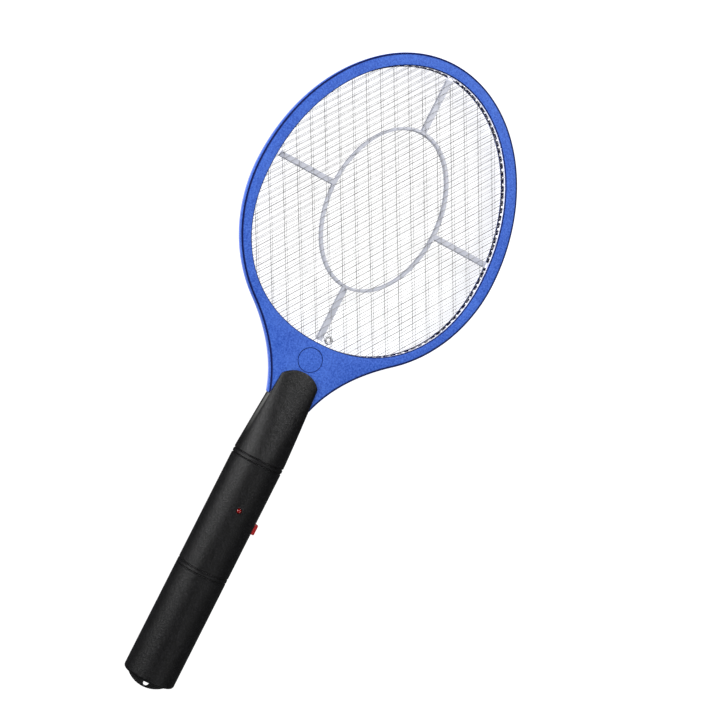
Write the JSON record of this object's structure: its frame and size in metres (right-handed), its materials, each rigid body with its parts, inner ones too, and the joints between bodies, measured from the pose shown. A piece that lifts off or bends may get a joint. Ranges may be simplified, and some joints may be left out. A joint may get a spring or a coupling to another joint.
{
  "type": "electric fly swatter",
  "caption": "Racket-shaped electric insect swatter: oval framed wire grids with a pale brace, on a round battery handle with push button, lamp, hang tab and sliding battery door.",
  "frame": {"origin": "middle of the bounding box in X and Y, on the surface that the swatter lies on, which its handle's round back touches", "axes": "+Y runs from the hang tab to the tip of the head, +Z is the normal of the head's front face, +X is its right side, where the push button is"},
  "size_m": [0.1794, 0.455, 0.0362],
  "materials": {
    "blue_plastic": "fine matte moulded texture",
    "black_plastic": "fine spark-eroded matte texture with a soft highlight",
    "pale_plastic": "plain moulded, slightly grey",
    "red_plastic": "smooth moulded",
    "red_lens": "glossy tinted resin",
    "grid_wire": "bright drawn wire",
    "steel": "zinc plated",
    "spring_steel": "nickel plated",
    "board_green": "solder-mask lacquer",
    "ferrite": "sintered ferrite",
    "winding_tape": "polyester tape over enamelled wire",
    "film_red": "dipped epoxy",
    "component_black": "moulded epoxy",
    "resistor_tan": "lacquered ceramic with colour bands",
    "cell_wrap": "printed-free shrink wrap with bare metal ends",
    "lead_red": "PVC insulation",
    "lead_black": "PVC insulation",
    "lead_white": "PVC insulation"
  },
  "bodies": {
    "root": {"front_frame": "blue_plastic", "rear_frame": "blue_plastic", "front_spacer": "pale_plastic", "rear_spacer": "pale_plastic", "front_grid": "grid_wire", "middle_grid": "grid_wire", "rear_grid": "grid_wire", "front_contact_eyelet": "steel", "rear_contact_eyelet": "steel", "throat_screw_left": "steel", "throat_screw_right": "steel", "front_handle_shell": "black_plastic", "rear_handle_shell": "black_plastic", "handle_screw_lower": "steel", "handle_screw_upper": "steel", "neck_screw": "steel", "battery_cell_left": "cell_wrap", "battery_cell_right": "cell_wrap", "positive_contact": "spring_steel", "negative_contact": "spring_steel", "bridge_plate": "spring_steel", "negative_spring": "spring_steel", "bridge_spring": "spring_steel", "battery_lead_red": "lead_red", "battery_lead_black": "lead_black", "circuit_board": "board_green", "transformer_core": "ferrite", "transformer_winding": "winding_tape", "storage_capacitor": "film_red", "booster_capacitor_1": "film_red", "booster_capacitor_2": "film_red", "diode_1": "component_black", "diode_2": "component_black", "diode_3": "component_black", "resistor_1": "resistor_tan", "resistor_2": "resistor_tan", "transistor": "component_black", "switch_body": "component_black", "power_led": "red_lens", "led_lead_anode": "steel", "led_lead_cathode": "steel", "grid_lead_outer": "lead_white", "grid_lead_inner": "lead_red"},
    "battery_door": {"battery_door": "black_plastic"},
    "push_button": {"push_button": "red_plastic"},
    "switch_plunger": {"switch_plunger": "red_plastic"}
  },
  "joints": [
    {"name": "button_press", "type": "slide", "parent": "root", "child": "push_button", "axis": [-1, 0, 0], "range_m": [0, 0.0012], "stiffness_N_per_m": 600},
    {"name": "plunger_press", "type": "slide", "parent": "root", "child": "switch_plunger", "axis": [-1, 0, 0], "range_m": [0, 0.0012]},
    {"name": "battery_door_slide", "type": "slide", "parent": "root", "child": "battery_door", "axis": [0, -1, 0], "range_m": [0, 0.08]}
  ],
  "couplings": [
    {"joint": "plunger_press", "follows": "button_press", "ratio": 1}
  ]
}
